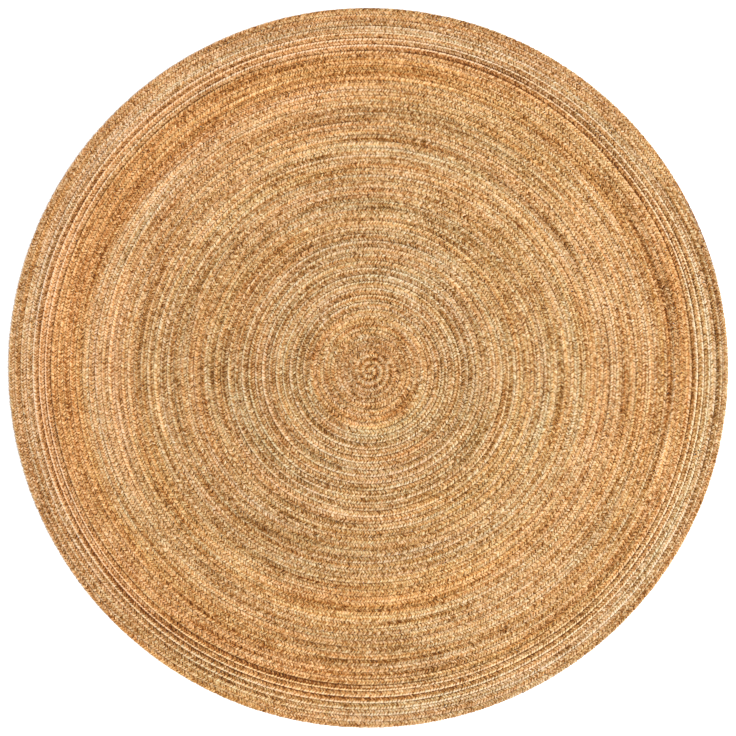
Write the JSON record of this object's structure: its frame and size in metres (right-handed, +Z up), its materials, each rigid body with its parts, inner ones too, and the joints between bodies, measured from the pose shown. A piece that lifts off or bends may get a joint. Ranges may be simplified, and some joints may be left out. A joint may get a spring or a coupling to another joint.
{
  "type": "round braided rug",
  "caption": "Round area rug: a flat braid of natural jute wound in a spiral from the centre and sewn edge to edge, lying flat on the floor.",
  "frame": {"origin": "middle of the underside, on the floor", "axes": "+Z up, away from the floor; +X to the picture's right and +Y to its top"},
  "size_m": [1.8292, 1.8291, 0.009],
  "materials": {
    "jute_plait": "dry, fibrous natural jute, uncoloured",
    "sewing_thread": "dull twisted jute thread"
  },
  "bodies": {
    "root": {"braid_1": "jute_plait", "braid_2": "jute_plait", "braid_3": "jute_plait", "braid_4": "jute_plait", "braid_5": "jute_plait", "braid_6": "jute_plait", "braid_7": "jute_plait", "braid_8": "jute_plait", "braid_9": "jute_plait", "seam_1": "sewing_thread", "seam_2": "sewing_thread", "seam_3": "sewing_thread", "seam_4": "sewing_thread", "seam_5": "sewing_thread", "seam_6": "sewing_thread", "seam_7": "sewing_thread", "seam_8": "sewing_thread", "seam_9": "sewing_thread"}
  },
  "joints": []
}
